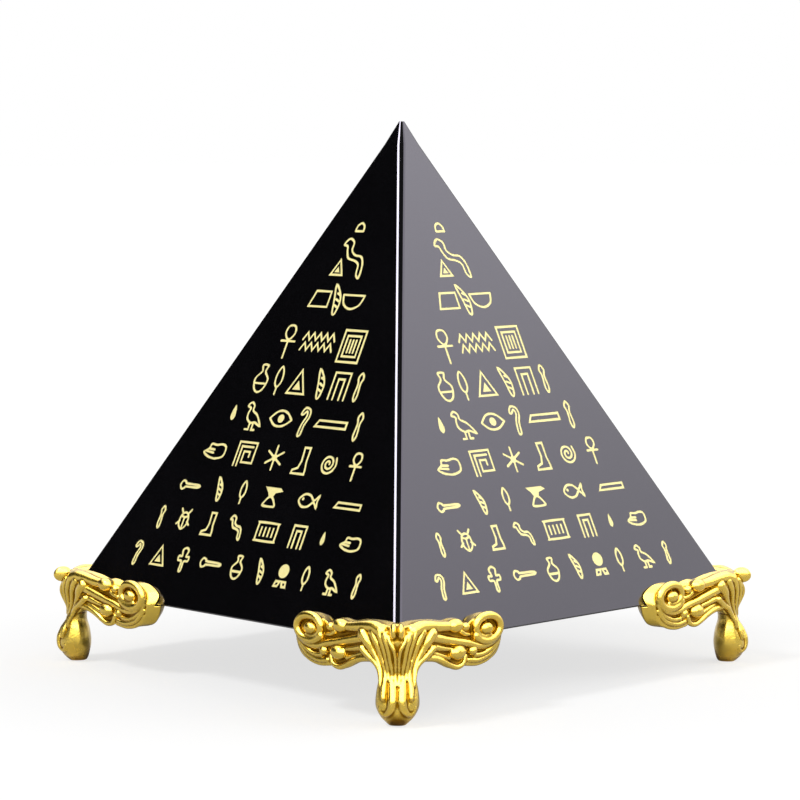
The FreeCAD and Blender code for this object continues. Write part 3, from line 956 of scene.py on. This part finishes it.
def add_arm(cast, foot):
    """Ground, strands, scroll and beads of one arm."""
    wall = foot.wall / MM
    outline = smooth(ARM_OUTLINE, False, SMOOTH_STEPS)
    rings = []
    for out, lean, lower, lift in ARM_LEAN:
        rings.append([arm_point(along + lean * min(1.0, along / LEAN_START),
                                rise - lower if rise > 0 else rise + lift, out * wall)
                      for along, rise in outline])
    cast.skin(rings)
    for places, proud, first, last in ARM_STRANDS:
        cast.strand([arm_point(along, rise, wall + proud) for along, rise in places], [first, last])
    points, radii = [], []
    for turn in np.linspace(SCROLL_START, SCROLL_END, SCROLL_STEPS):
        wound = max(0.0, (turn - SCROLL_CURL) / (SCROLL_END - SCROLL_CURL))
        size = 1 - CURL_IN * wound
        points.append(arm_point(SCROLL_CENTRE[0] + SCROLL_HALF[0] * size * math.cos(turn),
                                SCROLL_CENTRE[1] + SCROLL_HALF[1] * size * math.sin(turn),
                                wall + SCROLL_PROUD))
        radii.append(SCROLL_RADIUS * (1 - CURL_THIN * wound))
    cast.strand(points, radii)
    for along, rise, out, wide, tall, deep in ARM_BEADS:
        cast.bead(arm_point(along, rise, out), Vector((wide, 0, 0)), Vector((0, 0, tall)),
                  Vector((0, deep, 0)))


def add_leg(cast):
    """Round body of the leg, from within the arms down to the flat toe."""
    rings = []
    for level, half, _, back in LEG_PROFILE:
        ring = []
        edge = leg_surface(half, level)
        for spot in range(LEG_SIDES):
            turn = 2 * math.pi * spot / LEG_SIDES
            across, depth = half * math.cos(turn), math.sin(turn)
            if depth >= 0:
                out = leg_surface(across, level)
                if level < SLIT_TOP:
                    out -= SLIT_DEPTH * max(0.0, 1 - abs(across) / SLIT_HALF) * fade(level, *SLIT_FADE)
            else:
                out = edge - (edge + back) * (-depth) ** BACK_FULLNESS
            ring.append(leg_point(across, out, level))
        rings.append(ring)
    cast.skin(rings)


def level_square(near, level):
    """Level square that runs far back from the corner at near."""
    far = -TOOL_REACH
    return [Vector((x, y, level)) for x, y in ((far, far), (near, far), (near, near), (far, near))]


def foot_mesh(foot, pyramid_slope):
    """One foot in millimetres, melted together and cut to seat the stone."""
    cast = Cast()
    add_arm(cast, foot)
    for places, radii, proud in FLUTES:
        cast.strand(flute_line(places, proud), radii)
    cast.bead(leg_point(*KNOB_PLACE), *KNOB_AXES)
    cast.twin()
    add_leg(cast)
    solid = linked("casting", cast.mesh("casting"))
    melt = solid.modifiers.new("melt", "REMESH")
    melt.mode = "VOXEL"
    melt.voxel_size = foot.voxel / MM
    soften = solid.modifiers.new("soften", "SMOOTH")
    soften.iterations = foot.softness
    soften.factor = 0.5

    # The stone's place and the ground are cut away last, so that the edges stay crisp.
    clearance, bed, ground = foot.clearance / MM, foot.bed / MM, STONE_LOW.z / MM
    seat = [level_square(clearance - max(level, 0.0) * pyramid_slope, level)
            for level in (-bed, 0.0, SEAT_HEIGHT)]
    under = [level_square(TOOL_REACH, level) for level in (-ground - TOOL_REACH, -ground)]
    used = [solid]
    for rings in (seat, under):
        block = Cast()
        block.skin(rings)
        tool = linked("tool", block.mesh("tool"))
        used.append(tool)
        cut = solid.modifiers.new("cut", "BOOLEAN")
        cut.operation = "DIFFERENCE"
        cut.solver = "MANIFOLD"
        cut.object = tool
    ready = bpy.data.meshes.new_from_object(solid.evaluated_get(bpy.context.evaluated_depsgraph_get()))
    ready.materials.clear()
    for item in used:
        bpy.data.objects.remove(item)
    return ready


def stored(items, field, kind, width):
    """One field of a mesh's items, as a row of numbers for each."""
    values = np.empty(len(items) * width, dtype=kind)
    items.foreach_get(field, values)
    return values.reshape(-1, width)


def mark_painted_shade(mesh):
    """Stores how deep each point lies in a hollow or under the toe, for the painted shade in the hollows and
    the painted dark reflection at the toe.
    """
    count = len(mesh.vertices)
    places = stored(mesh.vertices, "co", float, 3)
    normals = stored(mesh.vertices, "normal", float, 3)
    ends = stored(mesh.edges, "vertices", int, 2)
    links = np.bincount(ends.ravel(), minlength=count)[:, None]
    mean = places.copy()
    for _ in range(HOLLOW_PASSES):
        total = np.zeros_like(mean)
        for axis in range(3):
            total[:, axis] = (np.bincount(ends[:, 0], mean[ends[:, 1], axis], count)
                              + np.bincount(ends[:, 1], mean[ends[:, 0], axis], count))
        mean = total / links
    depth = ((mean - places) * normals).sum(axis=1)
    across = np.abs(places[:, 1] - places[:, 0]) * math.sqrt(0.5)
    toe = np.clip((TOE_TOP - places[:, 2]) / TOE_SPAN, 0, 1) * np.clip(TOE_EASE - across / TOE_SPAN, 0, 1)
    painted_shade_amount = np.clip(depth * HOLLOW_GAIN + HOLLOW_BASE + TOE_GAIN * toe, 0, 1)
    store = mesh.attributes.new("painted_shade_amount", "FLOAT", "POINT")
    store.data.foreach_set("value", painted_shade_amount)


class PYRAMID_OT_stone(bpy.types.Operator):
    """Build the polished stone with its engraved faces and their gold"""
    bl_idname = "pyramid.stone"
    bl_label = "Stone and signs"

    def execute(self, context):
        settings = context.scene.pyramid
        signs = settings.signs
        pyramid = Pyramid(settings.stone)
        plan = engraved_plan(pyramid, signs)
        depth = signs.depth / MM
        stone = object_from("obsidian_pyramid", stone_mesh(pyramid, plan, depth),
                            obsidian_material(settings.finish), "obsidian", "pyramid_block")
        stone.data.materials.append(arris_material(settings.finish))
        gold = sign_material(settings.finish)
        for turn, side in enumerate(("front_left", "front_right", "back_right", "back_left")):
            fill = fill_mesh(pyramid, plan, turn, signs.fill_drop / MM, depth)
            object_from("sign_gold_" + side, fill, gold, "gilt_metal")
        return {"FINISHED"}


class PYRAMID_OT_feet(bpy.types.Operator):
    """Build the four cast feet"""
    bl_idname = "pyramid.feet"
    bl_label = "Cast feet"

    def execute(self, context):
        settings = context.scene.pyramid
        gilt = gilt_material(settings.finish)
        half = settings.stone.base_side / 2
        shape = foot_mesh(settings.foot, half / settings.stone.height)
        mark_painted_shade(shape)
        for face in shape.polygons:
            face.use_smooth = True
        for corner, degrees in CORNERS.items():
            mesh = shape.copy()
            spin = Matrix.Rotation(math.radians(degrees), 4, "Z")
            mesh.transform(spin @ Matrix.Translation((half, half, STONE_LOW.z)) @ Matrix.Scale(MM, 4))
            object_from("cast_foot_" + corner, mesh, gilt, "gilt_metal", "foot_" + corner)
        return {"FINISHED"}


class PYRAMID_OT_beds(bpy.types.Operator):
    """Give the adhesive beds their finish"""
    bl_idname = "pyramid.beds"
    bl_label = "Adhesive beds"

    def execute(self, context):
        material = adhesive_material(context.scene.pyramid.finish)
        for corner in CORNERS:
            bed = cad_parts["glue_bed_" + corner]
            bed.data.materials.clear()
            bed.data.materials.append(material)
        return {"FINISHED"}


# Floor: half its side, what it keeps near the object of its own shade to the
# camera and to reflections, and the strength of its white.
FLOOR_HALF = 6.0
SHADE_KEPT = 0.34
SHADE_MIRRORED = 0.60
FLOOR_GLOW = 1.08

# Room: directions of its bright back and of its front, and the strength of each
# part as the stone and the gold mirror it.
BRIGHT_SIDE = (-0.10, 0.75, 0.65)
FRONT_SIDE = (0.64, -0.62, 0.45)
BRIGHT_LOW = 1.0
BRIGHT_ADDED = 2.1
CEILING_LEVEL = 4.5
FRONT_LEVEL = 7.0
BAND_LEVEL = 0.5
DARK_LEVEL = 0.02

# Lamps: the way to each from the point it lights, its distance, width and height.
LIT_POINT = Vector((0.0, 0.0, 0.05))
KEY_BOX = ((0.52, 0.70, 0.53), 1.1, 1.15, 1.0)
STRIP_BOX = ((-0.19, -0.575, 0.795), 1.2, 0.26, 0.30)

# Camera: its sensor's width in millimetres and the nearest thing it shows.
SENSOR_WIDTH = 36.0
CLIP_START = 0.01


def floor_material(finish):
    """White floor that keeps the object's shadow near it and fades into the white room."""
    desk = material_desk("studio_floor")
    away = desk.node("VectorMath", {"operation": "LENGTH"}, {0: desk.place}, 1)
    near = 1 - desk.edge("away", away)
    white = desk.seen_white() * (1 - near * (SHADE_KEPT + SHADE_MIRRORED * desk.ray("Is Glossy Ray")))
    matt = desk.node("BsdfDiffuse", {}, {"Color": opaque(finish.floor)})
    glow = desk.node("Emission", {}, {"Color": WHITE, "Strength": FLOOR_GLOW})
    surface = desk.node("MixShader", {}, {0: white, 1: matt, 2: glow})
    desk.node("OutputMaterial", {}, {"Surface": surface})
    return desk.owner


def room(level):
    """World: plain light at the level, white to the camera, with bright and dark parts in reflections."""
    world = bpy.data.worlds.new("white_room")
    bpy.context.scene.world = world
    desk = Desk(world, "Generated")
    rise = desk.node("SeparateXYZ", {}, {0: desk.place}, 2)
    sweep = desk.edge("bright", desk.toward(BRIGHT_SIDE))
    back = sweep * (BRIGHT_LOW + BRIGHT_ADDED * desk.edge("bright_rise", rise))
    front = desk.edge("front", desk.toward(FRONT_SIDE)) * desk.edge("front_rise", rise)
    ceiling = desk.edge("ceiling", rise)
    band = 1 - desk.edge("above_band", rise)
    mirrored = back.most(ceiling * CEILING_LEVEL).most(front * FRONT_LEVEL)
    mirrored = mirrored.most(band * BAND_LEVEL).most(DARK_LEVEL)
    glossy = desk.ray("Is Glossy Ray")
    shown = desk.seen_white()
    strength = level * (1 - shown) + shown * (1 - glossy) + glossy * mirrored
    light = desk.node("Background", {}, {"Color": WHITE, "Strength": strength})
    desk.node("OutputWorld", {}, {"Surface": light})


def aim(item, direction, distance, target):
    """Places an item that way from the target and turns it to face the target."""
    back = Vector(direction).normalized()
    item.location = target + back * distance
    item.rotation_mode = "QUATERNION"
    item.rotation_quaternion = (-back).to_track_quat("-Z", "Y")


def soft_box(name, radiance, direction, distance, width, height):
    """Rectangular lamp of a given radiance, which the camera doesn't see."""
    lamp = bpy.data.lights.new(name, "AREA")
    lamp.shape = "RECTANGLE"
    lamp.size = width
    lamp.size_y = height
    lamp.energy = radiance * math.pi * width * height
    item = linked(name, lamp)
    item.visible_camera = False
    aim(item, direction, distance, LIT_POINT)


class PYRAMID_OT_stage(bpy.types.Operator):
    """Build the floor, the lights and the camera"""
    bl_idname = "pyramid.stage"
    bl_label = "Stage"

    def execute(self, context):
        settings = context.scene.pyramid
        stage = settings.stage
        made = bmesh.new()
        bmesh.ops.create_grid(made, x_segments=8, y_segments=8, size=FLOOR_HALF)
        floor = linked("floor", mesh_of(made, "floor"))
        floor.data.materials.append(floor_material(settings.finish))
        room(stage.fill_level)
        soft_box("key_box", stage.key_level, *KEY_BOX)
        soft_box("strip_box", stage.strip_level, *STRIP_BOX)
        camera = linked("camera", bpy.data.cameras.new("camera"))
        context.scene.camera = camera
        camera.data.sensor_width = SENSOR_WIDTH
        camera.data.lens = stage.lens / MM
        camera.data.clip_start = CLIP_START
        azimuth, elevation = stage.azimuth, stage.elevation
        right = Vector((math.cos(azimuth), math.sin(azimuth), 0.0))
        target = right * stage.target_side + Vector((0.0, 0.0, STONE_LOW.z + stage.target_rise))
        back = (math.sin(azimuth) * math.cos(elevation), -math.cos(azimuth) * math.cos(elevation),
                math.sin(elevation))
        aim(camera, back, stage.distance, target)
        roll = Matrix.Rotation(stage.roll, 3, "Z").to_quaternion()
        camera.rotation_quaternion = camera.rotation_quaternion @ roll
        context.scene.view_settings.view_transform = "Standard"
        return {"FINISHED"}


class PYRAMID_PT_panel(bpy.types.Panel):
    """Sidebar panel with the sizes, colours and building steps"""
    bl_idname = "PYRAMID_PT_panel"
    bl_label = "Pyramid"
    bl_space_type = "VIEW_3D"
    bl_region_type = "UI"
    bl_category = "Pyramid"

    def draw(self, context):
        settings = context.scene.pyramid
        for name, group in GROUPS.items():
            box = self.layout.box()
            for field in group.__annotations__:
                box.prop(getattr(settings, name), field)
        for step in STEPS:
            self.layout.operator(step.bl_idname)


STEPS = [PYRAMID_OT_stone, PYRAMID_OT_feet, PYRAMID_OT_beds, PYRAMID_OT_stage]
CLASSES = [*GROUPS.values(), PyramidSettings, *STEPS, PYRAMID_PT_panel]


def register():
    """Registers the classes and the scene's settings."""
    for item in CLASSES:
        bpy.utils.register_class(item)
    bpy.types.Scene.pyramid = PointerProperty(type=PyramidSettings)


def unregister():
    """Removes the scene's settings and the classes."""
    del bpy.types.Scene.pyramid
    for item in reversed(CLASSES):
        bpy.utils.unregister_class(item)


def main():
    """Builds everything."""
    register()
    bpy.ops.pyramid.stone()
    bpy.ops.pyramid.feet()
    bpy.ops.pyramid.beds()
    bpy.ops.pyramid.stage()


if __name__ == "__main__":
    main()
